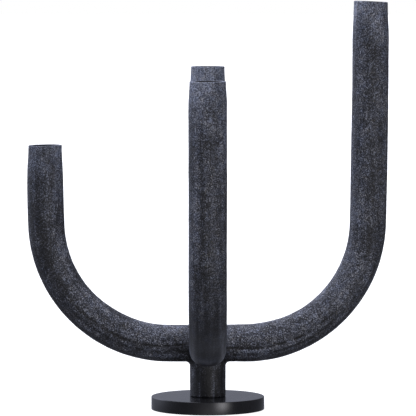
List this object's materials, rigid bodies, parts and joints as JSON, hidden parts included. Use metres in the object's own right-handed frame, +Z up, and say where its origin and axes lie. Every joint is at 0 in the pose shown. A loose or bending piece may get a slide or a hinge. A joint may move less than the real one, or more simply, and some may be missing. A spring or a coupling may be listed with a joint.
{
  "type": "tabletop candelabra",
  "caption": "Tabletop candelabra: curved, rough-cast tubular arms rise to staggered heights from a crossed hub on a short stem over a heavy round base.",
  "frame": {"origin": "on the surface the candelabra stands on, under the stem's axis", "axes": "+Z up along the stem; +X towards the tallest arm, -X towards the shortest; -Y towards the front arm"},
  "size_m": [0.3685, 0.3698, 0.4175],
  "materials": {
    "cast_body": "matte",
    "coated_steel": "satin",
    "cup_steel": "satin",
    "zinc_steel": "satin",
    "felt": "matte"
  },
  "bodies": {
    "root": {"felt_pad": "felt", "base_plate": "coated_steel", "base_screw": "zinc_steel", "spring_washer": "zinc_steel", "flat_washer": "zinc_steel", "stem": "cast_body", "stem_plug": "zinc_steel", "stem_joint_sleeve": "zinc_steel", "hub": "cast_body", "left_arm": "cast_body", "left_joint_sleeve": "zinc_steel", "left_candle_cup": "cup_steel", "right_arm": "cast_body", "right_joint_sleeve": "zinc_steel", "right_candle_cup": "cup_steel", "front_arm": "cast_body", "front_joint_sleeve": "zinc_steel", "front_candle_cup": "cup_steel", "back_arm": "cast_body", "back_joint_sleeve": "zinc_steel", "back_candle_cup": "cup_steel"}
  },
  "joints": []
}
